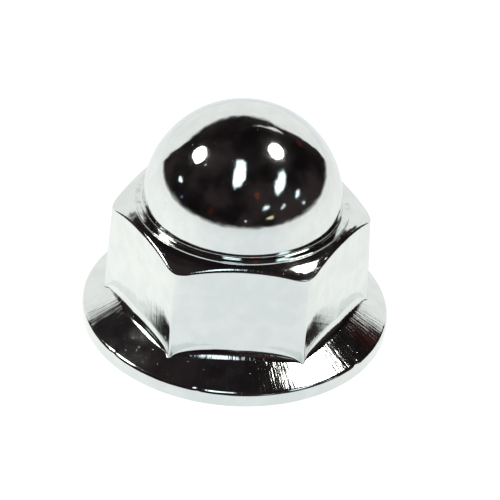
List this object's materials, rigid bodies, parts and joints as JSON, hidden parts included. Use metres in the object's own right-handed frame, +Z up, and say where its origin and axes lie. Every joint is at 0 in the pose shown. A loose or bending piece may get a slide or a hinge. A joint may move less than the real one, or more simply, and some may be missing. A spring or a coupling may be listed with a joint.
{
  "type": "flanged cap nut",
  "caption": "One-piece hexagon cap nut with a wide conical flange and a polished dome that closes the blind thread.",
  "frame": {"origin": "centre of the seat, the flat underside of the flange, on the thread's axis", "axes": "+Z up the thread's axis to the top of the dome; one flat faces -Y"},
  "size_m": [0.0174, 0.0174, 0.0136],
  "materials": {
    "chrome_plate": "bright chrome plate over forged steel"
  },
  "bodies": {
    "root": {"cap_nut": "chrome_plate"}
  },
  "joints": []
}
